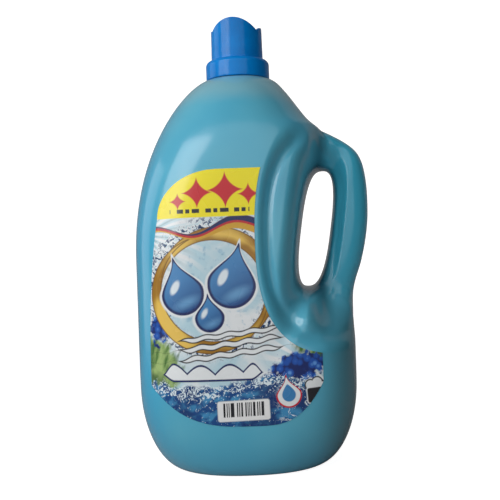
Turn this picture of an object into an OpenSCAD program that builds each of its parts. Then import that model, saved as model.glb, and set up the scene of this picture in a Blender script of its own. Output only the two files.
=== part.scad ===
/* [Bottle body] */
// Width of the body across the front, at the base of the straight sides
body_w = 171.5; // [164:0.5:178]
// Depth of the body from front to back
body_d = 150; // [140:1:156]
// Height from the base to the top of the shoulder, where the cap sits
body_h = 309.5; // [302:0.5:318]
// Width of the foot that the bottle stands on
foot_w = 107; // [100:1:116]
// Depth of the foot
foot_d = 102; // [94:1:110]
// Height over which the foot swells out to the full body
foot_rise = 66; // [58:1:70]
// Height at which the sides start to draw in to the shoulder
waist_z = 165; // [155:1:175]
// Height at which the front and back start to draw in to the shoulder
panel_top_z = 222; // [212:1:232]
// Thickness of the blown wall
wall = 1.2; // [1:0.1:1.6]

/* [Handle] */
// Height of the middle of the finger hole
grip_z = 187; // [182:1:192]
// Distance of the finger hole's middle from the neck axis
grip_x = 59.2; // [57:0.2:61]
// Height of the finger hole
grip_h = 93.2; // [86:0.2:98]
// Width of the finger hole
grip_w = 24.6; // [20:0.2:28]
// Sideways lean of the finger hole for each millimetre of height
grip_lean = 0.155; // [0.12:0.005:0.18]
// Thickness of the grip from front to back
grip_depth = 37; // [32:1:42]
// How far the grip stands out past the line of the body's side
grip_reach = 23; // [19:0.1:26]
// Drop of the thumb recess's rolled rim below the front panel
recess_step = 5; // [3:0.5:7]
// Depth of the groove outside the rolled rim
groove_depth = 2.6; // [1.2:0.2:3]
// Half width of the thumb recess around the hole
recess_hw = 55.5; // [53:0.5:58]
// Height of the thumb recess above its middle
recess_high = 97; // [93:1:101]
// Depth of the thumb recess below its middle
recess_low = 83; // [80:1:87]

/* [Neck] */
// Outside diameter of the neck below its thread
neck_d = 43.6; // [43.2:0.1:44]
// Thickness of the neck's wall
neck_wall = 1.8; // [1.5:0.1:2.2]
// Height of the neck's rim above the shoulder
neck_h = 13.1; // [12.6:0.1:13.6]

/* [Cap] */
// Outside diameter of the cap's skirt
skirt_d = 51.6; // [51.4:0.1:53]
// Height of the skirt with its rounded shoulder
skirt_h = 15.8; // [15.5:0.1:18]
// Outside diameter of the dosing cup where it leaves the skirt
cup_d = 42; // [41:0.1:43]
// Height of the cup's floor above the skirt's lower edge
cup_floor_z = 28; // [27:0.5:30]
// Height of the crown's lowest points above the skirt's lower edge
crown_z = 38.5; // [37:0.5:41]
// Height of the two large lobes of the crown
lobe_h = 9.2; // [6:0.1:11]
// Height of the two small lobes of the crown
ear_h = 3.2; // [2:0.1:4]
// Turn of the crown's front lobe away from straight ahead
crown_turn = 10.5; // [0:0.5:30]
// Thickness of the cap's walls
cap_wall = 1.6; // [1.4:0.1:1.8]

/* [Pouring insert] */
// Outside diameter of the pouring spout
spout_d = 22; // [20:0.5:23]
// Height of the spout's tip above the neck's rim
spout_rise = 11.5; // [9:0.5:12]
// Thickness of the insert's walls
spout_wall = 1.3; // [1:0.1:1.5]
// Thickness of the foam sealing ring in the cap
seal_t = 0.8; // [0.6:0.1:0.9]

/* [Label and contents] */
// Thickness of the front label
label_t = 0.25; // [0.2:0.05:0.4]
// Height of the liquid's surface above the base
fill_z = 289; // [270:1:294]

/* [Hidden] */

// Clearances between pieces
seat_gap = 0.1;
glue_gap = 0.35;
fill_gap = 0.6;
plug_gap = 0.08;
skirt_gap = 0.5;
side_gap = 0.3;

// Heights and radii that the neck, the insert, the sealing ring and the cap share
neck_r = neck_d / 2;
bore_r = neck_r - neck_wall;
rim_z = body_h + neck_h;
flange_t = 1.1;
skirt_z = body_h + skirt_gap;
shelf_z = rim_z + flange_t + seal_t + 3 * seat_gap;
floor_z = skirt_z + cup_floor_z;
crown_base = skirt_z + crown_z;
skirt_r = skirt_d / 2;
skirt_bore = skirt_r - cap_wall;
cup_r = cup_d / 2;
cup_bore = cup_r - cap_wall;
spout_r = spout_d / 2;

// Shape of the body's horizontal sections
foot_square = 2.3;
body_square = 3.5;
neck_square = 2;
foot_power = 2.1;
shoulder_power = 2.2;
shoulder_root = 0.7;
shoulder_r = skirt_r - 0.8;

// Outline of the thumb recess, round the finger hole: it is 1 at the outline and falls towards the hole
recess_x = grip_x + 5.8;
recess_z = grip_z - 12;
recess_power = 2.5;
groove_at = 0.85;
groove_width = 0.055;
groove_ease = 0.5;
step_end = 0.8;

// Outline and edges of the finger hole
hole_power = 2.7;
edge_power = 2.2;
near_edge = 20;
crease_at = 9;
crease_foot = 2.5;
crease_share = 0.45;
grip_outer_edge = 18;
root_edge = 34;
join_soft = 30;

// Columns of facets on the body's side, on the strip beside the hole and on the grip
outer_cols = [12, 10, 10];
inner_cols = [5, 7, 8];

function ease(a, b, v) = let (t = min(1, max(0, (v - a) / (b - a)))) t * t * (3 - 2 * t);
function mix(a, b, t) = a + (b - a) * t;
function rounding(t, p) = pow(max(0, 1 - pow(max(0, 1 - min(1, t)), p)), 1 / p);

// Side, front and back lines of the body, drawn in by an inset for the inner faces
function shoulder_line(low, wide, z, inset) =
    z > body_h - 0.01 ? (inset > 0 ? bore_r + neck_wall / 2 : shoulder_r) :
    let (t = min(1, max(0, (z + inset - low) / (body_h - low))))
    shoulder_r + (wide - shoulder_r) * pow(1 - pow(t, shoulder_power), shoulder_root) - inset;
function foot_line(foot, wide, z, inset) =
    foot + (wide - foot) * rounding((z - inset) / foot_rise, foot_power) - inset;
function side_line(z, inset) =
    min(shoulder_line(waist_z, body_w / 2, z, inset), foot_line(foot_w / 2, body_w / 2, z, inset));
function face_line(z, inset) =
    min(shoulder_line(panel_top_z, body_d / 2, z, inset), foot_line(foot_d / 2, body_d / 2, z, inset));
function section_power(z) =
    mix(mix(foot_square, body_square, ease(0, foot_rise + 18, z)), neck_square, ease(waist_z, body_h - 8, z));

// The grip's outer line, as its reach past the body's side at heights about the hole's middle
grip_line = [
    [-130, 0], [-100, 0], [-70, 0.06], [-54, 0.08], [-44, 0.17], [-27, 0.42], [0, 0.69], [24, 0.86], [42, 0.97],
    [54, 1], [62, 0.92], [69, 0.68], [75, 0.34], [81, -0.02], [88, -0.19], [100, -0.22], [112, -0.14], [122, 0], [130, 0]
];
function slope(list, i) =
    (list[i + 1][1] - list[i - 1][1]) / (list[i + 1][0] - list[i - 1][0]);
function span_of(list, v, i = 1) =
    (i >= len(list) - 3 || v < list[i + 1][0]) ? i : span_of(list, v, i + 1);
function curve(list, v) =
    v <= list[1][0] || v >= list[len(list) - 2][0] ? 0 :
    let (
        i = span_of(list, v),
        width = list[i + 1][0] - list[i][0],
        t = (v - list[i][0]) / width,
        a = list[i][1],
        b = list[i + 1][1],
        ma = slope(list, i) * width,
        mb = slope(list, i + 1) * width
    )
    a * (2 * t * t * t - 3 * t * t + 1) + ma * (t * t * t - 2 * t * t + t)
        + b * (3 * t * t - 2 * t * t * t) + mb * (t * t * t - t * t);
function grip_side(z, inset) = side_line(z, inset) + grip_reach * curve(grip_line, z - grip_z);

// The finger hole, as a leaning superellipse
function hole_mid(z) = grip_x + grip_lean * (z - grip_z);
function hole_half(z, inset) =
    (grip_w / 2 + inset) * pow(max(0, 1 - pow(abs(z - grip_z) / (grip_h / 2 + inset), hole_power)), 1 / hole_power);
function hole_low(inset) = grip_z - grip_h / 2 - inset;
function hole_high(inset) = grip_z + grip_h / 2 + inset;
function hole_gap(x, z, inset) =
    let (
        w = grip_w / 2 + inset,
        h = grip_h / 2 + inset,
        u = abs(x - hole_mid(z)) / w,
        v = abs(z - grip_z) / h,
        r = pow(pow(u, hole_power) + pow(v, hole_power), 1 / hole_power),
        k = hole_power - 1
    )
    r <= 1 ? 0 : (r - 1) / norm([pow(u / r, k) / w, pow(v / r, k) / h]);

// Depth of the outer face in front of the parting plane
function soft_max(a, b) =
    let (k = min(join_soft, a + b), h = k > 0 ? max(0, 1 - abs(a - b) / k) : 0)
    max(a, b) + k * h * h / 4;
function recess_half(z) = z > recess_z ? recess_high : recess_low;
function recess_norm(x, z) =
    pow(pow(abs(x - recess_x) / recess_hw, recess_power) + pow(abs(z - recess_z) / recess_half(z), recess_power),
        1 / recess_power);
function recess_drop(x, z, inset) =
    let (
        r = recess_norm(x, z),
        fade = 1 - ease(hole_high(0), hole_high(0) + 26, z) * ease(recess_x - 27, recess_x - 11, x),
        bump = (r - groove_at) / (groove_width * (1 + inset / groove_ease))
    )
    r > 1.1 ? 0 : fade * (recess_step * (1 - ease(step_end, 1, r)) + groove_depth * exp(-bump * bump));
function body_depth(x, z, inset) =
    let (
        n = section_power(z),
        left = side_line(z, inset),
        side = x > 0 ? min(left, grip_side(z, inset)) : left,
        plain = pow(max(0, 1 - pow(min(1, abs(x) / side), n)), 1 / n)
    )
    max(0, face_line(z, inset) * plain - recess_drop(x, z, inset) * ease(0, 0.7, plain));
function grip_presence(z) =
    ease(hole_low(0) - 63, hole_low(0) - 31, z) * (1 - ease(hole_high(0) + 27, hole_high(0) + 65, z));
function grip_section(x, z, inset) =
    (grip_depth / 2 - inset) * grip_presence(z)
        * ease(hole_mid(z) - 26, hole_mid(z) - 2, x)
        * rounding((grip_side(z, inset) - x) / grip_outer_edge, edge_power);
function hole_wall(x, z, inset) =
    let (
        gap = hole_gap(x, z, inset),
        across = (x - hole_mid(z)) / (grip_w / 2),
        up = (z - grip_z) / (grip_h / 2),
        size = max(0.000001, norm([across, up])),
        crease = mix(min(1, gap / crease_at), rounding(gap / crease_foot, 2), crease_share),
        side = across < 0 ? rounding(gap / near_edge, edge_power) : crease
    )
    mix(side, rounding(gap / root_edge, edge_power), ease(0.35, 1, abs(up) / size));
function depth(x, z, inset) =
    let (
        level = ease(hole_low(0) - 44, hole_low(0) + 6, z) * (1 - ease(hole_high(0) + 22, hole_high(0) + 56, z)),
        start = hole_mid(z) - 4 - 14 * ease(hole_high(0) - 20, hole_high(0) + 20, z),
        body = body_depth(x, z, inset) * (1 - level * ease(start, start + 26, x))
    )
    soft_max(body, grip_section(x, z, inset)) * hole_wall(x, z, inset);

// Columns of the skin: the body's side, then the strip to the hole, then the grip
function recess_left(z) =
    let (v = min(hole_high(0) + 6, max(hole_low(0) - 28, z)))
    (recess_x - recess_hw * pow(max(0, 1 - pow(abs(v - recess_z) / recess_half(v), recess_power)), 1 / recess_power))
        * (1 - ease(hole_high(0) + 6, body_h, z));
function in_hole(z, inset) = z > hole_low(inset) + 0.001 && z < hole_high(inset) - 0.001;
function split(z, inset) =
    let (tip = z <= grip_z ? hole_low(inset) : hole_high(inset))
    hole_mid(tip) * grip_side(z, inset) / grip_side(tip, inset);
function column(z, c, n, inset) =
    let (
        left = -side_line(z, inset),
        bend = recess_left(z),
        hole = in_hole(z, inset),
        a = hole ? hole_mid(z) - hole_half(z, inset) : split(z, inset),
        b = hole ? hole_mid(z) + hole_half(z, inset) : split(z, inset),
        right = grip_side(z, inset),
        m = n[0] + n[1]
    )
    c <= n[0] ? bend - (bend - left) * cos(90 * c / n[0]) :
    c <= m ? (a + bend) / 2 - (a - bend) / 2 * cos(180 * (c - n[0]) / n[1]) :
    (b + right) / 2 - (right - b) / 2 * cos(180 * (c - m - 1) / n[2]);

// Rows of the skin, closer where the form turns
function steps(a, b, n) = [for (i = [0:n - 1]) mix(a, b, i / n)];
function slow_in(a, b, n) = [for (i = [0:n - 1]) mix(a, b, 1 - cos(90 * i / n))];
function slow_out(a, b, n) = [for (i = [0:n - 1]) mix(a, b, sin(90 * i / n))];
function skin_rows(inset, top, fine) =
    let (
        k = fine ? 2 : 1,
        low = hole_low(inset),
        high = hole_high(inset),
        rim = recess_z - recess_low,
        crest = recess_z + recess_high - 14,
        all = concat(
            slow_in(inset, foot_rise + inset, 4 * k),
            steps(foot_rise + inset, rim - 3, k + 1),
            steps(rim - 3, rim + 15, k * 2),
            slow_out(rim + 15, low, k + 4),
            slow_in(low, grip_z, 3 * k + 2),
            slow_out(grip_z, high, 3 * k + 2),
            slow_in(high, crest - 8, k + 2),
            steps(crest - 8, body_h - 22, k + 4),
            slow_out(body_h - 22, body_h - inset, 3 * k)
        )
    )
    concat([for (z = all) if (z < top - 1) z], top < body_h ? [top] : [body_h - inset - 0.2, body_h]);

// A skin over both halves: points by rows of columns, with the seams of the two halves shared
function last_col(n) = n[0] + n[1] + n[2] + 1;
function skin_points(rows, n, inset) =
    [for (side = [-1, 1], z = rows, c = [0:last_col(n)])
        let (x = column(z, c, n, inset))
        [x, (c == 0 || c == last_col(n)) ? 0 : side * depth(x, z, inset), z]];
function skin_id(side, r, c, rows, n, inset) =
    let (
        m = n[0] + n[1],
        last = last_col(n),
        z = rows[r],
        hole = in_hole(z, inset),
        tip = abs(z - hole_low(inset)) < 0.01 || abs(z - hole_high(inset)) < 0.01,
        k = c == m + 1 && !hole ? m : c,
        shared = k == 0 || k == last || ((k == m || k == m + 1) && (hole || tip))
    )
    (shared ? 0 : side) * len(rows) * (last + 1) + r * (last + 1) + k;
function skin_sides(rows, n, inset) =
    [for (side = [0, 1], r = [0:len(rows) - 2], c = [0:last_col(n) - 1]) if (c != n[0] + n[1])
        let (
            p = skin_id(side, r, c, rows, n, inset),
            q = skin_id(side, r, c + 1, rows, n, inset),
            s = skin_id(side, r + 1, c + 1, rows, n, inset),
            t = skin_id(side, r + 1, c, rows, n, inset)
        )
        each side == 0 ? [[p, t, s], [p, s, q]] : [[p, s, t], [p, q, s]]];
function skin_ring(r, rows, n, inset) =
    let (order = [for (c = [0:last_col(n)]) if (c != n[0] + n[1] + 1) c])
    concat([for (c = order) skin_id(0, r, c, rows, n, inset)],
        [for (i = [len(order) - 2:-1:1]) skin_id(1, r, order[i], rows, n, inset)]);
function reversed(list) = [for (i = [len(list) - 1:-1:0]) list[i]];
function shifted(faces, by) = [for (f = faces) [for (i = f) i + by]];

// Faces between two closed loops, stretch by stretch, where each loop has its own number of edges
function sum(list, n) = n == 0 ? 0 : list[n - 1] + sum(list, n - 1);
function ring(outer, inner, outer_counts, inner_counts) =
    [for (s = [0:len(outer_counts) - 1])
        let (
            n = outer_counts[s],
            m = inner_counts[s],
            o = sum(outer_counts, s),
            p = sum(inner_counts, s),
            meet = [for (i = [0:n - 1]) floor((i + 0.5) * m / n + 0.5)]
        )
        each concat(
            [for (i = [0:n - 1])
                [outer[o + i], inner[(p + meet[i]) % len(inner)], outer[(o + i + 1) % len(outer)]]],
            [for (i = [0:m - 1])
                let (past = len([for (v = meet) if (v <= i) v]))
                [outer[(o + past) % len(outer)], inner[p + i], inner[(p + i + 1) % len(inner)]]]
        )];

// A solid bounded by one skin, cut flat at its top
module filled_skin(inset, top, n) {
    rows = skin_rows(inset, top, false);
    points = skin_points(rows, n, inset);
    bottom = skin_ring(0, rows, n, inset);
    lid = reversed(skin_ring(len(rows) - 1, rows, n, inset));
    polyhedron(points, concat(skin_sides(rows, n, inset), [bottom], [lid]), convexity = 10);
}

// The blown shell: an outer and an inner skin joined by a flat ring under the neck
module shell() {
    rows = skin_rows(0, body_h, true);
    core_rows = skin_rows(wall, body_h, false);
    points = skin_points(rows, outer_cols, 0);
    core_points = skin_points(core_rows, inner_cols, wall);
    by = len(points);
    core_faces = concat(skin_sides(core_rows, inner_cols, wall), [skin_ring(0, core_rows, inner_cols, wall)]);
    edge = skin_ring(len(rows) - 1, rows, outer_cols, 0);
    core_edge = [for (i = skin_ring(len(core_rows) - 1, core_rows, inner_cols, wall)) i + by];
    faces = concat(skin_sides(rows, outer_cols, 0), [skin_ring(0, rows, outer_cols, 0)],
        [for (f = shifted(core_faces, by)) reversed(f)],
        ring(edge, core_edge, concat(outer_cols, reversed(outer_cols)), concat(inner_cols, reversed(inner_cols))));
    polyhedron(concat(points, core_points), faces, convexity = 10);
}

module bottle() {
    chamfer = 0.5;
    neck_foot = body_h - wall;
    color("mediumturquoise") {
        shell();
        rotate_extrude($fn = 96) polygon([
            [bore_r, neck_foot], [neck_r, neck_foot], [neck_r, rim_z - chamfer], [neck_r - chamfer, rim_z],
            [bore_r, rim_z]
        ]);
    }
}

module softener_fill() {
    color("steelblue") filled_skin(wall + fill_gap, fill_z, inner_cols);
}

// The front label's outline: its two edges at each height, as distances from the neck axis
label_low = 41.3;
label_high = 231;
label_top_z = 196;
label_side_z = 72;
label_mid = 7;
label_side_gap = 13.25;
label_half_r = 48.5;
label_lean = 9;
label_tip_x = -19;
label_end_x = 16.5;
label_margin = 1;
label_notch = 82;
label_cols = 18;
label_half_l = body_w / 2 - label_side_gap + label_mid;
label_foot_rows = 7;
label_side_rows = 3;
label_rows = 15;
label_head_rows = 7;
function label_left(z) =
    let (side = label_mid - label_half_l, rise = label_top_z - label_side_z)
    z < label_side_z ? label_mid - label_half_l * pow((z - label_low) / (label_side_z - label_low), 0.3) :
    z < label_top_z ? side + label_lean * pow((z - label_side_z) / rise, 2.4) :
    mix(side + label_lean, label_tip_x, 1 - sqrt(1 - pow((z - label_top_z) / (label_high - label_top_z), 2)));
function recess_edge(z) =
    let (v = min(1, abs(z - recess_z) / (z > recess_z ? recess_high + label_margin : label_notch)))
    recess_x - (recess_hw + label_margin) * pow(1 - pow(v, recess_power), 1 / recess_power);
function label_right(z) =
    let (side = label_mid + label_half_r, low = (z - label_low) / (label_side_z - label_low))
    min(z < label_side_z ? label_mid + label_half_r * pow(low, 0.34) : side,
        z > recess_z ? min(label_end_x, recess_edge(z)) : recess_edge(z));

module front_label() {
    foot = [for (i = [0:label_foot_rows - 1])
        label_low + 0.1 + (label_side_z - label_low) * pow(i / label_foot_rows, 2)];
    notch_z = recess_z - label_notch;
    beside = [for (i = [0:label_rows - 1]) mix(notch_z, label_top_z, pow(i / label_rows, 1.5))];
    head = [for (i = [0:label_head_rows])
        label_high - (label_high - label_top_z) * pow(1 - i / label_head_rows, 1.8)];
    levels = concat(foot, steps(label_side_z, notch_z, label_side_rows), beside, head);
    w = label_cols + 1;
    size = len(levels) * w;
    points = [for (out = [glue_gap, glue_gap + label_t], z = levels, c = [0:label_cols])
        let (x = mix(label_left(z), label_right(z), pow(c / label_cols, 1.3)))
        [x, -depth(x, z, 0) - out, z]];
    back = [for (r = [0:len(levels) - 2], c = [0:label_cols - 1])
        let (p = r * w + c)
        each [[p, p + 1, p + w + 1], [p, p + w + 1, p + w]]];
    border = concat(
        [for (c = [0:label_cols - 1]) c],
        [for (r = [0:len(levels) - 2]) r * w + label_cols],
        [for (c = [label_cols:-1:1]) size - w + c],
        [for (r = [len(levels) - 1:-1:1]) r * w]
    );
    edges = [for (i = [0:len(border) - 1])
        let (p = border[i], q = border[(i + 1) % len(border)])
        each [[p, p + size, q + size], [p, q + size, q]]];
    front = [for (f = back) [f[2] + size, f[1] + size, f[0] + size]];
    color("khaki") polyhedron(points, concat(back, front, edges), convexity = 6);
}

module pouring_insert() {
    flange_z = rim_z + seat_gap;
    flange_r = neck_r - 0.2;
    plug_r = bore_r - plug_gap;
    plug_h = 9;
    floor_fall = 1.6;
    lip_fall = 7;
    drain_w = 5;
    plug_z = rim_z - plug_h;
    tip_z = rim_z + spout_rise;
    well_r = plug_r - spout_wall;
    spout_bore = spout_r - spout_wall;
    color("white") difference() {
        rotate_extrude($fn = 96) polygon([
            [flange_r, flange_z], [flange_r, flange_z + flange_t], [well_r, flange_z + flange_t],
            [well_r, plug_z + spout_wall], [spout_r, plug_z + spout_wall - floor_fall], [spout_r, tip_z],
            [spout_bore, tip_z], [spout_bore, plug_z - floor_fall], [plug_r, plug_z], [plug_r, flange_z]
        ]);
        translate([-spout_r, 0, tip_z]) rotate([0, atan(lip_fall / spout_d), 0])
            translate([-spout_d, -spout_d, 0]) cube([3 * spout_d, 2 * spout_d, spout_d]);
        translate([0, -drain_w / 2, plug_z - floor_fall - 1])
            cube([(spout_r + well_r) / 2, drain_w, spout_rise + plug_h + floor_fall + 2]);
    }
}

module sealing_ring() {
    color("white") translate([0, 0, rim_z + flange_t + 2 * seat_gap]) difference() {
        cylinder(h = seal_t, r = skirt_bore - side_gap, $fn = 96);
        translate([0, 0, -1]) cylinder(h = seal_t + 2, r = cup_bore, $fn = 96);
    }
}

// The crown's edge follows round bars that lie across the cup: one makes both lobes, the other both ears
lobe_reach = 63.5;
crown_sink = 2;
module crown_bar(half_width, rise) {
    bar_r = (half_width * half_width + rise * rise) / (2 * rise);
    translate([0, 0, crown_base + rise - bar_r]) rotate([90, 0, 0])
        cylinder(h = 4 * cup_r, r = bar_r, center = true, $fn = 128);
}
module crown_form() {
    edge_r = (cup_r + cup_bore) / 2;
    rotate([0, 0, -crown_turn]) {
        crown_bar(edge_r * sin(lobe_reach), lobe_h);
        rotate([0, 0, 90]) crown_bar(edge_r * cos(lobe_reach), ear_h);
    }
    translate([0, 0, skirt_z - 1]) cylinder(h = crown_base - crown_sink - skirt_z + 1, r = skirt_r + 1, $fn = 64);
}

module dosing_cap() {
    draft = 0.4;
    hem = 0.4;
    shoulder_round = skirt_r - cup_r - 0.4;
    skirt_top = skirt_z + skirt_h;
    top = crown_base + lobe_h + 1;
    arc = [for (a = [0:15:90]) [
        skirt_r - shoulder_round * (1 - cos(a)), skirt_top - shoulder_round * (1 - sin(a))
    ]];
    color("dodgerblue") {
        intersection() {
            rotate_extrude($fn = 96) polygon(concat(
                [[skirt_bore, skirt_z], [skirt_r - hem, skirt_z], [skirt_r, skirt_z + hem]],
                arc,
                [[cup_r, skirt_top], [cup_r - draft, top], [cup_bore - draft, top], [cup_bore, floor_z], [0, floor_z]],
                [[0, floor_z - cap_wall], [cup_bore, floor_z - cap_wall], [cup_bore, shelf_z], [skirt_bore, shelf_z]]
            ));
            crown_form();
        }
    }
}

bottle();
softener_fill();
front_label();
pouring_insert();
sealing_ring();
dosing_cap();
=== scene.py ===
import math

import bpy
import numpy as np
from mathutils import Matrix, Vector


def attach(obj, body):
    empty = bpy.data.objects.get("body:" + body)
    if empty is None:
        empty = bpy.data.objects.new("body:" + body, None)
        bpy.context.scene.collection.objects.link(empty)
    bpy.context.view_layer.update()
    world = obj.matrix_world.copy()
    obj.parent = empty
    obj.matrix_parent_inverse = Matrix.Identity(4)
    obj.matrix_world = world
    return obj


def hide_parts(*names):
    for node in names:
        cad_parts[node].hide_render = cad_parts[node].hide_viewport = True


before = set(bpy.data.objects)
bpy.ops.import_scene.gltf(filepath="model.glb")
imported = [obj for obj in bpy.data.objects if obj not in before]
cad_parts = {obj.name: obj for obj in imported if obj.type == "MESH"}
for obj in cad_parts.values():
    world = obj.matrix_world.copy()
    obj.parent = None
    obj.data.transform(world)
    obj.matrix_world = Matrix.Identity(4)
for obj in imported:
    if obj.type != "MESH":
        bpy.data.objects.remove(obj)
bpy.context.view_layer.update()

MM = 0.001

# Sizes of the bottle in millimetres, as in the part's source, apart from a wall that is 0.1 thinner and a groove
# that fades more slowly towards the inside (GROOVE_EASE)
BODY_W, BODY_D, BODY_H = 171.5, 150.0, 309.5
FOOT_W, FOOT_D, FOOT_RISE = 107.0, 102.0, 66.0
WAIST_Z, PANEL_TOP_Z, WALL = 165.0, 222.0, 1.1
GRIP_X, GRIP_Z, GRIP_H, GRIP_W, GRIP_LEAN = 59.2, 187.0, 93.2, 24.6, 0.155
GRIP_DEPTH, GRIP_REACH = 37.0, 23.0
RECESS_STEP, GROOVE_DEPTH, RECESS_HW, RECESS_HIGH, RECESS_LOW = 5.0, 2.6, 55.5, 97.0, 83.0
NECK_R, NECK_WALL, NECK_H = 21.8, 1.8, 13.1
SKIRT_R = 25.8

FOOT_SQUARE, BODY_SQUARE, NECK_SQUARE, FOOT_POWER = 2.3, 3.5, 2.0, 2.1
SHOULDER_POWER, SHOULDER_ROOT, SHOULDER_R = 2.2, 0.7, SKIRT_R - 0.8
RECESS_X, RECESS_Z, RECESS_POWER = GRIP_X + 5.8, GRIP_Z - 12, 2.5
GROOVE_AT, GROOVE_WIDTH, GROOVE_EASE, STEP_END = 0.85, 0.055, 1.2, 0.8
HOLE_POWER, EDGE_POWER = 2.7, 2.2
NEAR_EDGE, ROOT_EDGE, CREASE_AT, CREASE_FOOT, CREASE_SHARE = 20.0, 34.0, 9.0, 2.5, 0.45
GRIP_OUTER_EDGE, JOIN_SOFT = 18.0, 30.0
HOLE_LOW, HOLE_HIGH = GRIP_Z - GRIP_H / 2, GRIP_Z + GRIP_H / 2
GRIP_LINE = np.array([
    (-130, 0), (-100, 0), (-70, 0.06), (-54, 0.08), (-44, 0.17), (-27, 0.42), (0, 0.69), (24, 0.86),
    (42, 0.97), (54, 1), (62, 0.92), (69, 0.68), (75, 0.34), (81, -0.02), (88, -0.19), (100, -0.22),
    (112, -0.14), (122, 0), (130, 0),
])


def ease(a, b, v):
    t = np.clip((v - a) / (b - a), 0, 1)
    return t * t * (3 - 2 * t)


def mix(a, b, t):
    return a + (b - a) * t


def rounding(t, power):
    return (1 - (1 - np.clip(t, 0, 1)) ** power) ** (1 / power)


def shoulder_line(low, wide, z, inset):
    t = np.clip((z + inset - low) / (BODY_H - low), 0, 1)
    return SHOULDER_R + (wide - SHOULDER_R) * (1 - t ** SHOULDER_POWER) ** SHOULDER_ROOT - inset


def foot_line(foot, wide, z, inset):
    return foot + (wide - foot) * rounding((z - inset) / FOOT_RISE, FOOT_POWER) - inset


def side_line(z, inset=0.0):
    shoulder = shoulder_line(WAIST_Z, BODY_W / 2, z, inset)
    return np.minimum(shoulder, foot_line(FOOT_W / 2, BODY_W / 2, z, inset))


def face_line(z, inset=0.0):
    shoulder = shoulder_line(PANEL_TOP_Z, BODY_D / 2, z, inset)
    return np.minimum(shoulder, foot_line(FOOT_D / 2, BODY_D / 2, z, inset))


def section_power(z):
    low = mix(FOOT_SQUARE, BODY_SQUARE, ease(0, FOOT_RISE + 18, z))
    return mix(low, NECK_SQUARE, ease(WAIST_Z, BODY_H - 8, z))


def grip_curve(v):
    """Cubic through the grip's outer line, with the slopes of its neighbours."""
    xs, ys = GRIP_LINE[:, 0], GRIP_LINE[:, 1]
    slopes = np.zeros(len(xs))
    slopes[1:-1] = (ys[2:] - ys[:-2]) / (xs[2:] - xs[:-2])
    i = np.clip(np.searchsorted(xs, v, side="right") - 1, 1, len(xs) - 3)
    width = xs[i + 1] - xs[i]
    t = (v - xs[i]) / width
    value = (
        ys[i] * (2 * t**3 - 3 * t**2 + 1) + slopes[i] * width * (t**3 - 2 * t**2 + t)
        + ys[i + 1] * (3 * t**2 - 2 * t**3) + slopes[i + 1] * width * (t**3 - t**2)
    )
    return np.where((v <= xs[1]) | (v >= xs[-2]), 0.0, value)


def grip_side(z, inset=0.0):
    return side_line(z, inset) + GRIP_REACH * grip_curve(z - GRIP_Z)


def hole_mid(z):
    return GRIP_X + GRIP_LEAN * (z - GRIP_Z)


def hole_half(z, inset=0.0):
    v = np.clip(np.abs(z - GRIP_Z) / (GRIP_H / 2 + inset), 0, 1)
    return (GRIP_W / 2 + inset) * (1 - v**HOLE_POWER) ** (1 / HOLE_POWER)


def hole_gap(x, z, inset=0.0):
    w, h = GRIP_W / 2 + inset, GRIP_H / 2 + inset
    u, v = np.abs(x - hole_mid(z)) / w, np.abs(z - GRIP_Z) / h
    r = np.maximum((u**HOLE_POWER + v**HOLE_POWER) ** (1 / HOLE_POWER), 1e-6)
    k = HOLE_POWER - 1
    slope = np.sqrt(((u / r) ** k / w) ** 2 + ((v / r) ** k / h) ** 2)
    return np.where(r <= 1, 0.0, (r - 1) / slope)


def soft_max(a, b):
    k = np.minimum(JOIN_SOFT, a + b)
    h = np.where(k > 0, np.maximum(0, 1 - np.abs(a - b) / np.maximum(k, 1e-9)), 0)
    return np.maximum(a, b) + k * h * h / 4


def recess_half(z):
    return np.where(z > RECESS_Z, RECESS_HIGH, RECESS_LOW)


def recess_norm(x, z):
    u, v = np.abs(x - RECESS_X) / RECESS_HW, np.abs(z - RECESS_Z) / recess_half(z)
    return (u**RECESS_POWER + v**RECESS_POWER) ** (1 / RECESS_POWER)


def recess_drop(x, z, inset):
    r = recess_norm(x, z)
    fade = 1 - ease(HOLE_HIGH, HOLE_HIGH + 26, z) * ease(RECESS_X - 27, RECESS_X - 11, x)
    bump = (r - GROOVE_AT) / (GROOVE_WIDTH * (1 + inset / GROOVE_EASE))
    drop = RECESS_STEP * (1 - ease(STEP_END, 1, r)) + GROOVE_DEPTH * np.exp(-bump * bump)
    return np.where(r > 1.1, 0, fade * drop)


def body_depth(x, z, inset):
    n = section_power(z)
    side = np.where(x > 0, np.minimum(side_line(z, inset), grip_side(z, inset)), side_line(z, inset))
    plain = (1 - np.clip(np.abs(x) / side, 0, 1) ** n) ** (1 / n)
    return np.maximum(0, face_line(z, inset) * plain - recess_drop(x, z, inset) * ease(0, 0.7, plain))


def grip_section(x, z, inset):
    presence = ease(GRIP_Z - 110, GRIP_Z - 78, z) * (1 - ease(GRIP_Z + 74, GRIP_Z + 112, z))
    outer = rounding((grip_side(z, inset) - x) / GRIP_OUTER_EDGE, EDGE_POWER)
    return (GRIP_DEPTH / 2 - inset) * presence * ease(hole_mid(z) - 26, hole_mid(z) - 2, x) * outer


def hole_wall(x, z, inset):
    """Rise of the wall round the finger hole, from 0 at the hole's edge to 1 on the faces beside it."""
    gap = hole_gap(x, z, inset)
    u, v = (x - hole_mid(z)) / (GRIP_W / 2), (z - GRIP_Z) / (GRIP_H / 2)
    size = np.maximum(np.hypot(u, v), 1e-6)
    along, up = u / size, v / size
    foot, rise = rounding(gap / CREASE_FOOT, 2), np.clip(gap / CREASE_AT, 0, 1)
    crease = CREASE_SHARE * foot + (1 - CREASE_SHARE) * rise
    near = rounding(gap / NEAR_EDGE, EDGE_POWER)
    root = rounding(gap / ROOT_EDGE, EDGE_POWER)
    side = np.where(along < 0, near, crease)
    return mix(side, root, ease(0.35, 1, np.abs(up)))


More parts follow.
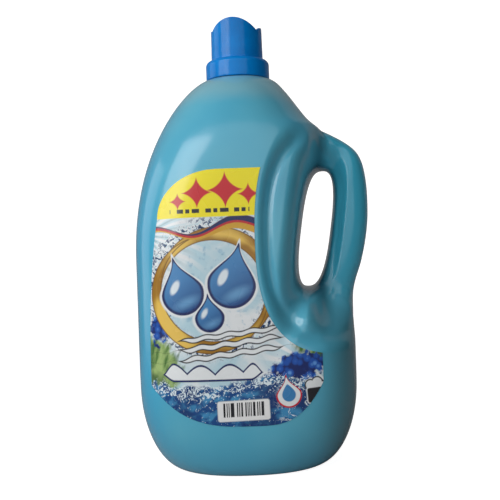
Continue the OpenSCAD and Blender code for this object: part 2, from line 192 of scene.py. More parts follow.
def depth(x, z, inset=0.0):
    level = ease(HOLE_LOW - 44, HOLE_LOW + 6, z) * (1 - ease(HOLE_HIGH + 22, HOLE_HIGH + 56, z))
    start = hole_mid(z) - 4 - 14 * ease(HOLE_HIGH - 20, HOLE_HIGH + 20, z)
    body = body_depth(x, z, inset) * (1 - level * ease(start, start + 26, x))
    return soft_max(body, grip_section(x, z, inset)) * hole_wall(x, z, inset)


# Lines of the skin's columns: the body's side, the strip up to the finger hole, and the grip
COLUMNS = (44, 60, 44)
MIDDLE = COLUMNS[0] + COLUMNS[1]
LAST = MIDDLE + COLUMNS[2] + 1


def recess_left(z):
    v = np.clip(z, GRIP_Z - 75, GRIP_Z + 53)
    reach = (1 - (np.abs(v - RECESS_Z) / recess_half(v)) ** RECESS_POWER) ** (1 / RECESS_POWER)
    return (RECESS_X - RECESS_HW * reach) * (1 - ease(GRIP_Z + 53, BODY_H, z))


def in_hole(z, inset=0.0):
    return (z > HOLE_LOW - inset + 0.001) & (z < HOLE_HIGH + inset - 0.001)


def skin_columns(z, inset=0.0):
    """Distances from the neck axis of each column of points, for one row or more."""
    z = np.atleast_1d(z)[:, None]
    left, right, bend = -side_line(z, inset), grip_side(z, inset), recess_left(z)
    hole = in_hole(z, inset)
    tip = np.where(z <= GRIP_Z, HOLE_LOW - inset, HOLE_HIGH + inset)
    split = hole_mid(tip) * grip_side(z, inset) / grip_side(tip, inset)
    near = np.where(hole, hole_mid(z) - hole_half(z, inset), split)
    far = np.where(hole, hole_mid(z) + hole_half(z, inset), split)
    s = np.linspace(0, 1, COLUMNS[0] + 1)[None, :-1]
    side = bend - (bend - left) * np.cos(math.pi / 2 * s**1.75)
    s = np.linspace(0, 1, COLUMNS[1] + 1)[None, :]
    strip = (near + bend) / 2 - (near - bend) / 2 * np.cos(math.pi * s)
    s = np.linspace(0, 1, COLUMNS[2] + 1)[None, :]
    grip = far + (right - far) * (1 - (0.5 + 0.5 * np.cos(math.pi * s)) ** 1.5)
    return np.hstack([side, strip, grip])


def span(a, b, count, slow=""):
    """Levels from a up to b, closer together at the end that slow names."""
    s = np.arange(count) / count
    if slow == "start":
        s = 1 - np.cos(math.pi / 2 * s)
    elif slow == "end":
        s = np.sin(math.pi / 2 * s)
    return mix(a, b, s)


def skin_rows(inset, fine):
    k = 3 if fine else 1
    rim, crest = RECESS_Z - RECESS_LOW, RECESS_Z + RECESS_HIGH - 14
    low, high = HOLE_LOW - inset, HOLE_HIGH + inset
    return np.concatenate([
        span(inset, FOOT_RISE + inset, 11 * k, "start"),
        span(FOOT_RISE + inset, rim - 3, 4 * k),
        span(rim - 3, rim + 15, 5 * k),
        span(rim + 15, low, 8 * k, "end"),
        span(low, GRIP_Z, 11 * k, "start"),
        span(GRIP_Z, high, 11 * k, "end"),
        span(high, crest - 8, 7 * k, "start"),
        span(crest - 8, BODY_H - 22, 8 * k),
        span(BODY_H - 22, BODY_H - inset, 8 * k, "end"),
        [BODY_H - inset],
    ])


def skin_ids(rows, inset):
    """Point numbers by half, row and column. Both halves share the points where they meet."""
    count = LAST + 1
    ids = np.arange(2 * len(rows) * count).reshape(2, len(rows), count)
    hole = in_hole(rows, inset)
    tip = (np.abs(rows - HOLE_LOW + inset) < 0.01) | (np.abs(rows - HOLE_HIGH - inset) < 0.01)
    ids[:, ~hole, MIDDLE + 1] = ids[:, ~hole, MIDDLE]
    for column in (0, LAST):
        ids[1, :, column] = ids[0, :, column]
    for column in (MIDDLE, MIDDLE + 1):
        ids[1, hole | tip, column] = ids[0, hole | tip, column]
    return ids


def skin_points(rows, inset):
    x = skin_columns(rows, inset)
    z = np.broadcast_to(rows[:, None], x.shape)
    y = depth(x, z, inset)
    y[:, [0, LAST]] = 0
    return np.concatenate([np.stack([x, side * y, z], -1).reshape(-1, 3) for side in (-1, 1)])


def skin_faces(ids):
    faces = []
    strip = [c for c in range(LAST) if c != MIDDLE]
    for side in (0, 1):
        a, b = ids[side][:-1], ids[side][1:]
        left, right = np.array(strip), np.array(strip) + 1
        quads = np.stack([a[:, left], a[:, right], b[:, right], b[:, left]], -1).reshape(-1, 4)
        faces.append(quads if side == 0 else quads[:, ::-1])
    return np.concatenate(faces)


def skin_ring(ids, row):
    """Closed loop of points round one row without the hole, from the left, counter-clockwise from above."""
    columns = [c for c in range(LAST + 1) if c != MIDDLE + 1]
    return np.concatenate([ids[0, row, columns], ids[1, row, columns[-2:0:-1]]])


def loop_faces(low, high):
    """Quads between two closed loops of point numbers."""
    return np.stack([low, np.roll(low, -1), np.roll(high, -1), high], -1)


def new_object(name, points, faces, caps=(), smooth_angle=None):
    """An object from points in millimetres, with unused points dropped and shading smooth."""
    faces = [tuple(dict.fromkeys(f)) for f in np.asarray(faces).tolist()] + [tuple(c) for c in caps]
    faces = [f for f in faces if len(f) > 2]
    used = sorted({i for f in faces for i in f})
    place = {old: new for new, old in enumerate(used)}
    mesh = bpy.data.meshes.new(name)
    mesh.from_pydata((np.asarray(points)[used] * MM).tolist(), [], [[place[i] for i in f] for f in faces])
    mesh.shade_smooth()
    if smooth_angle:
        mesh.set_sharp_from_angle(angle=math.radians(smooth_angle))
    obj = bpy.data.objects.new(name, mesh)
    bpy.context.scene.collection.objects.link(obj)
    return obj


# Neck and cap, in millimetres
BORE_R = NECK_R - NECK_WALL
RIM_Z = BODY_H + NECK_H
THREAD_LEAD, THREAD_STARTS, THREAD_DEPTH, THREAD_WIDTH = 9.0, 2, 1.3, 0.42
THREAD_FLANK, THREAD_FADE, THREAD_STEP = 0.28, 1.2, 0.36
CAP_WALL = 1.6
SKIRT_Z, SKIRT_H, SKIRT_BORE = BODY_H + 0.5, 15.8, SKIRT_R - CAP_WALL
CUP_R, CUP_BORE = 21.0, 21.0 - CAP_WALL
SHELF_Z, FLOOR_Z = RIM_Z + 2.2, SKIRT_Z + 28
CROWN_BASE, LOBE_H, EAR_H = SKIRT_Z + 38.5, 9.2, 3.2
CROWN_TURN, LOBE_REACH = math.radians(10.5), math.radians(63.5)
CUP_RISE, FLOOR_FILLET, LIP_ROUND = 32, 1.2, 0.35


def thread(angle, z, low, high, offset=0.0):
    """Height of the helical thread ridges above their wall, fading out at both ends."""
    turn = (z - BODY_H) / THREAD_LEAD - angle / (2 * math.pi)
    phase = np.abs((turn * THREAD_STARTS + offset) % 1 - 0.5) * 2
    ridge = ease(THREAD_WIDTH, THREAD_WIDTH - THREAD_FLANK, phase)
    return THREAD_DEPTH * ridge * ease(low, low + THREAD_FADE, z) * ease(high, high - THREAD_FADE, z)


def build_bottle():
    """The blown bottle: its outer and inner skins, joined over the neck with its thread and rim."""
    rows, core_rows = skin_rows(0, True), skin_rows(WALL, False)
    ids, core_ids = skin_ids(rows, 0), skin_ids(core_rows, WALL)
    points, core = skin_points(rows, 0), skin_points(core_rows, WALL)
    core_ids = core_ids + len(points)
    faces = [skin_faces(ids), skin_faces(core_ids)[:, ::-1]]
    all_points = [points, core]
    count = len(points) + len(core)

    top = skin_ring(ids, len(rows) - 1)
    circle = points[top]
    angle = np.arctan2(circle[:, 1], circle[:, 0])
    levels = np.arange(BODY_H + 0.9, RIM_Z - 0.8, THREAD_STEP)
    profile = [(NECK_R + 0.9, BODY_H + 0.02), (NECK_R + 0.3, BODY_H + 0.3)]
    profile += [(None, z) for z in levels]
    profile += [
        (NECK_R, RIM_Z - 0.6), (NECK_R - 0.2, RIM_Z - 0.15), (NECK_R - 0.55, RIM_Z), (BORE_R + 0.5, RIM_Z),
        (BORE_R + 0.1, RIM_Z - 0.15), (BORE_R, RIM_Z - 0.5), (BORE_R, BODY_H), (BORE_R + 0.4, BODY_H - WALL),
    ]
    last = top
    for radius, z in profile:
        r = NECK_R + thread(angle, z, BODY_H + 1.2, RIM_Z - 1) if radius is None else radius
        ring = np.stack([r * np.cos(angle), r * np.sin(angle), np.full(len(angle), z)], -1)
        number = np.arange(count, count + len(angle))
        faces.append(loop_faces(last, number))
        all_points.append(ring)
        count += len(angle)
        last = number
    faces.append(loop_faces(last, skin_ring(core_ids, len(core_rows) - 1)))
    caps = [skin_ring(ids, 0)[::-1].tolist(), skin_ring(core_ids, 0).tolist()]
    return new_object("blown_bottle", np.concatenate(all_points), np.concatenate(faces), caps)


def crown(angle):
    """Height of the cup's wavy edge: two round lobes in front and behind, two low ears at the sides."""
    r = (CUP_R + CUP_BORE) / 2
    a = angle + CROWN_TURN
    across, along = r * np.cos(a), r * np.sin(a)
    lobe, ear = r * math.sin(LOBE_REACH), r * math.cos(LOBE_REACH)
    lobe_bar = (lobe**2 + LOBE_H**2) / (2 * LOBE_H)
    ear_bar = (ear**2 + EAR_H**2) / (2 * EAR_H)
    high = LOBE_H - lobe_bar + np.sqrt(np.maximum(lobe_bar**2 - across**2, 0))
    low = EAR_H - ear_bar + np.sqrt(np.maximum(ear_bar**2 - along**2, 0))
    return CROWN_BASE + np.maximum(high, low)


def build_cap():
    """The turned cap: skirt, rounded shoulder, dosing cup with its wavy edge, floor and inner thread."""
    turns = 240
    angle = np.arange(turns) * 2 * math.pi / turns
    edge = crown(angle)
    skirt_top = SKIRT_Z + SKIRT_H
    bend = SKIRT_R - CUP_R - 0.4
    profile = [(SKIRT_BORE + 0.3, SKIRT_Z), (SKIRT_R - 0.5, SKIRT_Z)]
    profile += [(SKIRT_R - 0.15, SKIRT_Z + 0.12), (SKIRT_R, SKIRT_Z + 0.5)]
    profile += [(SKIRT_R, z) for z in np.linspace(SKIRT_Z + 2, skirt_top - bend, 5)]
    for a in np.radians(np.arange(7.5, 90, 7.5)):
        profile.append((SKIRT_R - bend * (1 - math.cos(a)), skirt_top - bend * (1 - math.sin(a))))
    profile += [(CUP_R + 0.4, skirt_top - 0.02), (CUP_R + 0.1, skirt_top + 0.12), (CUP_R - 0.02, skirt_top + 0.5)]
    rings = [(np.full(turns, r), np.full(turns, z)) for r, z in profile]
    foot, draft = skirt_top + 0.5, 0.4
    for t in np.linspace(0.06, 1, 22):
        z = mix(foot, edge - LIP_ROUND, t)
        sink = 0.09 * np.exp(-(((z - FLOOR_Z + 0.8) / 0.9) ** 2))
        rings.append((CUP_R - draft * (z - foot) / CUP_RISE - sink, z))
    mid = (CUP_R + CUP_BORE) / 2 - draft * 0.8
    for a in np.radians(np.arange(20, 180, 20)):
        half = CAP_WALL / 2 - 0.02
        rings.append((np.full(turns, mid + half * math.cos(a)), edge - LIP_ROUND + LIP_ROUND * math.sin(a)))
    for t in np.linspace(0, 0.94, 14):
        z = mix(edge - LIP_ROUND, FLOOR_Z + FLOOR_FILLET, t)
        rings.append((CUP_BORE - draft * (z - foot) / CUP_RISE, z))
    for a in np.radians(np.arange(0, 91, 15)):
        r, z = CUP_BORE - FLOOR_FILLET * (1 - math.cos(a)), FLOOR_Z + FLOOR_FILLET * (1 - math.sin(a))
        rings.append((np.full(turns, r), np.full(turns, z)))
    for r in (12, 5, 1.2):
        rings.append((np.full(turns, r), np.full(turns, FLOOR_Z)))
    top_centre = len(rings) - 1
    for r in (1.2, 12, CUP_BORE):
        rings.append((np.full(turns, r), np.full(turns, FLOOR_Z - CAP_WALL)))
    for r, z in ((CUP_BORE, SHELF_Z), (SKIRT_BORE - 0.4, SHELF_Z), (SKIRT_BORE, SHELF_Z - 0.4)):
        rings.append((np.full(turns, r), np.full(turns, z)))
    for z in np.arange(SHELF_Z - 1.2, SKIRT_Z + 0.6, -THREAD_STEP):
        ridge = thread(angle, np.full(turns, z), SKIRT_Z + 1.5, SHELF_Z - 2.2, offset=0.5)
        rings.append((SKIRT_BORE - ridge, np.full(turns, z)))
    rings.append((np.full(turns, SKIRT_BORE), np.full(turns, SKIRT_Z + 0.3)))
    points, faces = [], []
    for i, (r, z) in enumerate(rings):
        points.append(np.stack([r * np.cos(angle), r * np.sin(angle), z], -1))
        low = np.arange(turns) + i * turns
        high = np.arange(turns) + (i + 1) % len(rings) * turns
        if i != top_centre:
            faces.append(loop_faces(low, high))
    caps = [
        (np.arange(turns) + top_centre * turns).tolist(),
        (np.arange(turns) + (top_centre + 1) * turns)[::-1].tolist(),
    ]
    return new_object("cap_with_cup", np.concatenate(points), np.concatenate(faces), caps, smooth_angle=60)


# The front label's outline, as its edges at each height. Its film and the gap under it are thinner than in the
# part's source.
LABEL_LOW, LABEL_HIGH, LABEL_TOP_Z, LABEL_SIDE_Z = 41.3, 231.0, 196.0, 72.0
LABEL_MID, LABEL_HALF_L, LABEL_HALF_R, LABEL_LEAN = 7.0, 79.5, 48.5, 9.0
LABEL_TIP_X, LABEL_END_X, LABEL_MARGIN, LABEL_FOOT, LABEL_T, GLUE_GAP = -19.0, 16.5, 1.0, 82.0, 0.2, 0.15


def label_left(z):
    side, rise = LABEL_MID - LABEL_HALF_L, LABEL_TOP_Z - LABEL_SIDE_Z
    low = np.clip((z - LABEL_LOW) / (LABEL_SIDE_Z - LABEL_LOW), 0, 1)
    middle = np.clip((z - LABEL_SIDE_Z) / rise, 0, 1)
    high = np.clip((z - LABEL_TOP_Z) / (LABEL_HIGH - LABEL_TOP_Z), 0, 1)
    foot = LABEL_MID - LABEL_HALF_L * low**0.3
    arc = mix(side + LABEL_LEAN, LABEL_TIP_X, 1 - np.sqrt(1 - high**2))
    return np.where(z < LABEL_SIDE_Z, foot, np.where(z < LABEL_TOP_Z, side + LABEL_LEAN * middle**2.4, arc))


def label_right(z):
    v = np.clip(np.abs(z - RECESS_Z) / np.where(z > RECESS_Z, RECESS_HIGH + LABEL_MARGIN, LABEL_FOOT), 0, 1)
    recess = RECESS_X - (RECESS_HW + LABEL_MARGIN) * (1 - v**RECESS_POWER) ** (1 / RECESS_POWER)
    low = np.clip((z - LABEL_LOW) / (LABEL_SIDE_Z - LABEL_LOW), 0, 1)
    side = LABEL_MID + LABEL_HALF_R * low**0.34
    return np.minimum(side, np.where(z > RECESS_Z, np.minimum(LABEL_END_X, recess), recess))


def build_label():
    """The sheet glued to the front face, following it all over."""
    foot = LABEL_LOW + 0.05 + (LABEL_SIDE_Z - LABEL_LOW) * np.linspace(0, 1, 26)[:-1] ** 2.2
    head = LABEL_HIGH - (LABEL_HIGH - LABEL_TOP_Z) * np.linspace(1, 0, 22)[1:] ** 1.6
    z = np.concatenate([foot, np.linspace(LABEL_SIDE_Z, LABEL_TOP_Z, 90), head])
    across = np.linspace(0, 1, 97)
    x = mix(label_left(z)[:, None], label_right(z)[:, None], across[None, :])
    z = np.broadcast_to(z[:, None], x.shape)
    y = -depth(x, z)
    rows, columns = x.shape
    sheets = [np.stack([x, y - out, z], -1).reshape(-1, 3) for out in (GLUE_GAP, GLUE_GAP + LABEL_T)]
    ids = np.arange(rows * columns).reshape(rows, columns)
    quads = np.stack([ids[:-1, :-1], ids[:-1, 1:], ids[1:, 1:], ids[1:, :-1]], -1).reshape(-1, 4)
    border = np.concatenate([ids[0, :-1], ids[:-1, -1], ids[-1, :0:-1], ids[:0:-1, 0]])
    faces = [quads[:, ::-1], quads + rows * columns, loop_faces(border, border + rows * columns)]
    return new_object("printed_label", np.concatenate(sheets), np.concatenate(faces), smooth_angle=50)


class Value:
    """A number or vector in a material's node tree, which can be added, multiplied and compared."""

    def __init__(self, tree, socket):
        self.tree, self.socket = tree, socket

    def math(self, operation, *others):
        node = self.tree.nodes.new("ShaderNodeMath")
        node.operation = operation
        for slot, item in zip(node.inputs, (self, *others)):
            if isinstance(item, Value):
                self.tree.links.new(item.socket, slot)
            else:
                slot.default_value = item
        return Value(self.tree, node.outputs[0])

    def __add__(self, other):
        return self.math("ADD", other)

    def __sub__(self, other):
        return self.math("SUBTRACT", other)

    def __mul__(self, other):
        return self.math("MULTIPLY", other)

    def __truediv__(self, other):
        return self.math("DIVIDE", other)

    def __abs__(self):
        return self.math("ABSOLUTE")

    def __neg__(self):
        return self.math("MULTIPLY", -1.0)

    def lowest(self, other):
        return self.math("MINIMUM", other)

    def highest(self, other):
        return self.math("MAXIMUM", other)

    def sine(self):
        return self.math("SINE")

    def root(self):
        return self.math("SQRT")

    def ramp(self, low, high):
        """0 up to low and 1 from high on, with a soft change between."""
        node = self.tree.nodes.new("ShaderNodeMapRange")
        node.interpolation_type = "SMOOTHSTEP"
        self.tree.links.new(self.socket, node.inputs[0])
        node.inputs[1].default_value, node.inputs[2].default_value = low, high
        return Value(self.tree, node.outputs[0])

    def inside(self, soft=0.35):
        """1 where a signed distance is below 0, with an edge as soft as print."""
        return self.ramp(soft, -soft)


class Painter:
    """Builds one material: places in millimetres, textures, shapes and layers of colour."""

    def __init__(self, name):
        self.material = bpy.data.materials.new(name)
        self.material.use_nodes = True
        self.tree = self.material.node_tree
        self.surface = self.tree.nodes["Principled BSDF"]
        place = self.tree.nodes.new("ShaderNodeTexCoord")
        scale = self.tree.nodes.new("ShaderNodeVectorMath")
        scale.operation = "SCALE"
        scale.inputs["Scale"].default_value = 1000.0
        self.tree.links.new(place.outputs["Object"], scale.inputs[0])
        self.place = scale.outputs[0]
        split = self.tree.nodes.new("ShaderNodeSeparateXYZ")
        self.tree.links.new(self.place, split.inputs[0])
        self.x, self.y, self.z = (Value(self.tree, s) for s in split.outputs)

    def vector(self, x, y, z):
        node = self.tree.nodes.new("ShaderNodeCombineXYZ")
        for slot, item in zip(node.inputs, (x, y, z)):
            if isinstance(item, Value):
                self.tree.links.new(item.socket, slot)
            else:
                slot.default_value = item
        return node.outputs[0]

    def noise(self, scale, detail=3.0, at=None, distortion=0.0):
        node = self.tree.nodes.new("ShaderNodeTexNoise")
        node.inputs["Scale"].default_value = scale
        node.inputs["Detail"].default_value = detail
        node.inputs["Distortion"].default_value = distortion
        self.tree.links.new(at or self.place, node.inputs["Vector"])
        return Value(self.tree, node.outputs["Fac"])

    def cells(self, scale):
        node = self.tree.nodes.new("ShaderNodeTexVoronoi")
        node.inputs["Scale"].default_value = scale
        self.tree.links.new(self.place, node.inputs["Vector"])
        return Value(self.tree, node.outputs["Distance"])

    def angle(self, cx, cy):
        """Direction on the flat label round a centre, in radians."""
        return (self.z - cy).math("ARCTAN2", self.x - cx)

    def stretched(self, along, across, degrees):
        """A place for textures that run in one direction."""
        x, z = self.turned(0.0, 0.0, degrees)
        return self.vector(x * along, self.y * across, z * across)

    def turned(self, cx, cy, degrees):
        """The label's flat place measured from a centre and turned."""
        c, s = math.cos(math.radians(degrees)), math.sin(math.radians(degrees))
        x, z = self.x - cx, self.z - cy
        return x * c + z * s, z * c - x * s

    def length(self, x, y):
        return (x * x + y * y).root()

    def disc(self, cx, cy, radius):
        return self.length(self.x - cx, self.z - cy) - radius

    def oval(self, cx, cy, half_x, half_y, degrees=0.0):
        x, y = self.turned(cx, cy, degrees)
        return (self.length(x / half_x, y / half_y) - 1.0) * min(half_x, half_y)

    def slab(self, cx, cy, half_x, half_y, degrees=0.0, corner=0.0):
        x, y = self.turned(cx, cy, degrees)
        x, y = abs(x) - (half_x - corner), abs(y) - (half_y - corner)
        return self.length(x.highest(0.0), y.highest(0.0)) + x.highest(y).lowest(0.0) - corner

    def drop(self, cx, cy, radius, tip, degrees=0.0):
        """A water drop: a disc whose upper side runs out into a point at tip."""
        x, y = self.turned(cx, cy, degrees)
        narrow = (-y.ramp(0.0, tip) * 0.86) + 1.0
        return self.length(x / narrow, y.lowest(0.0) + y.highest(0.0) * (radius / tip)) - radius

    def star(self, cx, cy, radius):
        """A sparkle with four points."""
        x, y = self.x - cx, self.z - cy
        reach = (abs(x) / radius).math("POWER", 0.62) + (abs(y) / radius).math("POWER", 0.62)
        return (reach - 1.0) * (radius * 0.5)

    def crescent(self, cx, cy, radius, shift, width, degrees):
        """A disc with a shifted disc cut out of it."""
        dx, dy = shift * math.cos(math.radians(degrees)), shift * math.sin(math.radians(degrees))
        return self.disc(cx, cy, radius).highest(-self.disc(cx - dx, cy - dy, radius - width + shift))

    def wave(self, height, rise, swing, length, phase, half):
        """A wavy band that climbs to the right."""
        middle = self.x * rise + (self.x * (2 * math.pi / length) + phase).sine() * swing + height
        return abs(self.z - middle) - half

    def layer(self, below, above, mask):
        """Puts a colour over another where the mask is 1."""
        node = self.tree.nodes.new("ShaderNodeMix")
        node.data_type = "RGBA"
        self.tree.links.new(mask.socket, node.inputs["Factor"])
        for slot, item in ((node.inputs[6], below), (node.inputs[7], above)):
            if isinstance(item, tuple):
                slot.default_value = (*linear(item), 1)
            else:
                self.tree.links.new(item, slot)
        return node.outputs[2]

    def bump(self, height, strength, distance):
        node = self.tree.nodes.new("ShaderNodeBump")
        node.inputs["Strength"].default_value = strength
        node.inputs["Distance"].default_value = distance
        self.tree.links.new(height.socket, node.inputs["Height"])
        self.tree.links.new(node.outputs[0], self.surface.inputs["Normal"])

    def rough(self, value):
        self.tree.links.new(value.socket, self.surface.inputs["Roughness"])

    def base(self, socket):
        self.tree.links.new(socket, self.surface.inputs["Base Color"])

    def set(self, **sockets):
        for name, value in sockets.items():
            self.surface.inputs[name.replace("_", " ")].default_value = value


def linear(rgb):
    """A display colour from 0 to 255 as the light it stands for."""
    parts = [c / 255 for c in rgb]
    return tuple(c / 12.92 if c <= 0.04045 else ((c + 0.055) / 1.055) ** 2.4 for c in parts)


def blown_plastic():
    """Translucent blown plastic, coloured by the liquid behind it, with a satin skin, painted light on the left
    side and the grip, and painted shade round the finger hole and low on the right side.
    """
    p = Painter("blown_teal_plastic")
    liquid, empty, foot = (84, 178, 208), (124, 188, 206), (80, 172, 204)
    colour = p.layer(liquid, (94, 184, 210), p.noise(0.018, 2.0).ramp(0.35, 0.7))
    # Painted light: the left side is made brighter and bluer, where the key light falls
    colour = p.layer(colour, (44, 164, 208), p.x.ramp(-50.0, -84.0) * 0.85)
    colour = p.layer(colour, foot, p.z.ramp(40.0, 2.0))
    # Painted shade: the wall round the finger hole is made dark, where it faces away from the light
    hole_outline = p.oval(GRIP_X, GRIP_Z, GRIP_W / 2, GRIP_H / 2, -math.degrees(math.atan(GRIP_LEAN)))
    painted_hole_shade = hole_outline.ramp(17.0, 1.0) * abs(p.y).ramp(48.0, 20.0) * p.x.ramp(72.0, 60.0)
    colour = p.layer(colour, (4, 70, 92), painted_hole_shade * 0.85)
    # Painted light: the grip, right of the finger hole, is made brighter
    colour = p.layer(colour, (62, 184, 216), p.x.ramp(62.0, 76.0) * p.z.ramp(120.0, 150.0) * 0.8)
    # Painted shade: the lower right side is made darker, where little light reaches
    colour = p.layer(colour, (58, 116, 130), p.x.ramp(45.0, 80.0) * p.z.ramp(140.0, 100.0) * 0.8)
    colour = p.layer(colour, empty, (p.z + p.noise(0.05, 2.0) * 6.0).ramp(284.0, 300.0))
    p.base(colour)
    p.rough(p.noise(0.09, 4.0) * 0.06 + 0.17)
    p.bump(p.noise(0.035, 2.0) * 3.0, 0.12, 0.0006)
    p.set(Coat_Weight=0.4, Coat_Roughness=0.12, IOR=1.54)
    return p.material


def cap_plastic():
    """Glossy injection-moulded plastic with faint flow waves."""
    p = Painter("cap_blue_plastic")
    colour = p.layer((0, 122, 204), (0, 132, 216), p.noise(0.06, 2.0).ramp(0.35, 0.65))
    p.base(colour)
    p.rough(p.noise(0.2, 3.0) * 0.08 + 0.14)
    p.bump(p.noise(0.16, 2.0) + p.noise(1.2, 2.0) * 0.05, 0.12, 0.0005)
    p.set(Coat_Weight=0.1, Coat_Roughness=0.08, IOR=1.46, Specular_IOR_Level=0.3)
    return p.material


def plain_plastic(name, light, dark, roughness):
    """Natural moulded plastic or foam with a slight mottle."""
    p = Painter(name)
    p.base(p.layer(dark, light, p.noise(0.25, 3.0).ramp(0.3, 0.7)))
    p.rough(p.noise(0.5, 3.0) * 0.15 + roughness)
    p.bump(p.noise(2.5, 3.0), 0.2, 0.0002)
    p.set(Subsurface_Weight=0.15, Subsurface_Scale=0.002)
    return p.material


def liquid_blue():
    p = Painter("softener_liquid")
    p.base(p.layer((96, 176, 216), (120, 196, 228), p.noise(0.03, 3.0).ramp(0.3, 0.7)))
    p.rough(p.noise(0.1, 2.0) * 0.05 + 0.08)
    p.bump(p.noise(0.08, 2.0), 0.1, 0.001)
    p.set(IOR=1.34)
    return p.material


YELLOW, RED, INK, WHITE = (250, 234, 10), (206, 22, 40), (26, 28, 36), (238, 242, 244)
SKY, NAVY, GOLD = (188, 220, 232), (16, 34, 92), (214, 164, 44)
# The golden ring's crescents: centre, radius, shift, width and direction
CRESCENTS = ((-20.0, 145.0, 43.0, 6.0, 10.0, 52.0), (-26.0, 139.0, 43.0, 6.0, 9.0, 236.0))
# The big drops: centre, radius, tip and turn
BIG_DROPS = ((-46.0, 140.0, 15.5, 27.0, 14.0), (-9.5, 146.0, 17.5, 30.0, -12.0), (-26.5, 122.0, 10.5, 17.0, 4.0))


def water_drop(p, colour, x, z, radius, tip, degrees):
    """One big glossy drop of the label's picture, with its dark edge and its lights."""
    shape = p.drop(x, z, radius, tip, degrees)
    colour = p.layer(colour, WHITE, (shape - 2.2).inside(0.8))
    colour = p.layer(colour, NAVY, (shape - 0.4).inside())
    inner = (shape + 1.6).inside(0.8)
    shade = (p.z - z) * 0.5 - (p.x - x) * 0.35
    glaze = p.layer((24, 70, 134), (70, 138, 196), (shade / radius).ramp(-0.75, 0.6))
    colour = p.layer(colour, glaze, inner)
    glow = p.oval(x + radius * 0.2, z - radius * 0.42, radius * 0.5, radius * 0.2, 24)
    colour = p.layer(colour, (112, 172, 218), glow.inside(3.0) * inner * 0.8)
    light = p.oval(x - radius * 0.36, z + radius * 0.3, radius * 0.17, radius * 0.36, -28)
    return p.layer(colour, (232, 242, 248), light.inside(0.8))


def blossom(p, colour, x, z, half_x, half_z, degrees):
    """A ragged cluster of small blue flowers."""
    patch = p.oval(x, z, half_x, half_z, degrees) + (p.noise(0.22, 3.0) - 0.5) * 14.0
    petal = p.cells(0.19)
    flower = p.layer((96, 156, 226), (26, 84, 178), petal.ramp(0.12, 0.42))
    flower = p.layer(flower, (10, 36, 104), petal.ramp(0.45, 0.72))
    return p.layer(colour, flower, patch.inside(1.2))


def outlined(p, colour, shape, edge, fill, width):
    colour = p.layer(colour, edge, (shape - width).inside())
    return p.layer(colour, fill, shape.inside())


def label_sky(p):
    """Pale sky with beams of light and a ring of splashes."""
    colour = p.layer(SKY, WHITE, p.noise(0.035, 3.0, distortion=0.6).ramp(0.38, 0.66))
    beams = (p.angle(-78.0, 186.0) * 26.0 + p.noise(0.02, 2.0) * 7.0).sine()
    colour = p.layer(colour, WHITE, beams.ramp(0.1, 0.9) * p.disc(-78, 186, 58).ramp(6.0, -26.0))
    dark_beams = beams.ramp(-0.5, -1.0) * p.disc(-78, 186, 50).ramp(4.0, -30.0)
    colour = p.layer(colour, (150, 182, 190), dark_beams * 0.7)
    low_beams = (p.angle(46.0, 84.0) * 17.0 + p.noise(0.03, 2.0) * 5.0).sine()
    colour = p.layer(colour, WHITE, low_beams.ramp(0.0, 0.9) * p.disc(46, 84, 44).ramp(4.0, -22.0))
    ring = p.disc(-24, 143, 45)
    drops = p.noise(0.30, 4.0, distortion=1.4)
    near = (abs(ring) - 7.0).ramp(4.0, -5.0)
    colour = p.layer(colour, WHITE, near * drops.ramp(0.40, 0.48))
    colour = p.layer(colour, (46, 92, 132), near * drops.ramp(0.535, 0.575))
    colour = p.layer(colour, (20, 48, 92), near * drops.ramp(0.60, 0.64))
    return p.layer(colour, (120, 176, 206), ring.ramp(-6.0, -10.0) * p.noise(0.16, 3.0).ramp(0.55, 0.7) * 0.6)


def label_sea(p, colour):
    """Leaves at the lower corners, then the deep water with its foam."""
    leaves = p.noise(0.11, 3.0, at=p.stretched(0.5, 1.7, 62))
    green = p.layer((70, 116, 48), (168, 196, 120), leaves.ramp(0.35, 0.65))
    green = p.layer(green, (34, 76, 44), p.noise(0.05, 2.0).ramp(0.52, 0.66) * 0.8)
    left = p.oval(-72, 84, 22, 26, 20) + (leaves - 0.5) * 18.0
    right = p.oval(54, 97, 17, 9, -20) + (leaves - 0.5) * 12.0
    colour = p.layer(colour, green, left.lowest(right).inside(2.5))
    colour = blossom(p, colour, 38, 84, 22, 10, 8)
    colour = blossom(p, colour, -64, 116, 7, 13, -14)
    swell = (p.x * 0.075 + 0.6).sine() * 3.0 + (p.noise(0.09, 3.0) - 0.5) * 16.0 + p.x * 0.05
    depth_below = (p.z - 74.0) - swell
    streaks = p.noise(0.09, 4.0, at=p.stretched(0.7, 1.6, 24), distortion=1.2)
    water = p.layer((16, 74, 138), (66, 146, 196), streaks.ramp(0.42, 0.62))
    water = p.layer(water, (12, 50, 108), p.noise(0.03, 2.0).ramp(0.45, 0.62) * 0.8)
    sea = depth_below.inside(1.5)
    colour = p.layer(colour, water, sea)
    foam = p.noise(0.33, 5.0, distortion=1.8) - abs(depth_below + 3.0).ramp(1.0, 11.0) * 0.13
    colour = p.layer(colour, (226, 240, 246), foam.ramp(0.50, 0.56) * (depth_below - 2.0).inside(2.0))
    crack = abs(p.noise(0.055, 4.0, distortion=0.8) - 0.5) * 40.0 - 0.35
    return p.layer(colour, (236, 246, 250), crack.inside(0.3) * sea * p.x.ramp(16.0, 30.0))


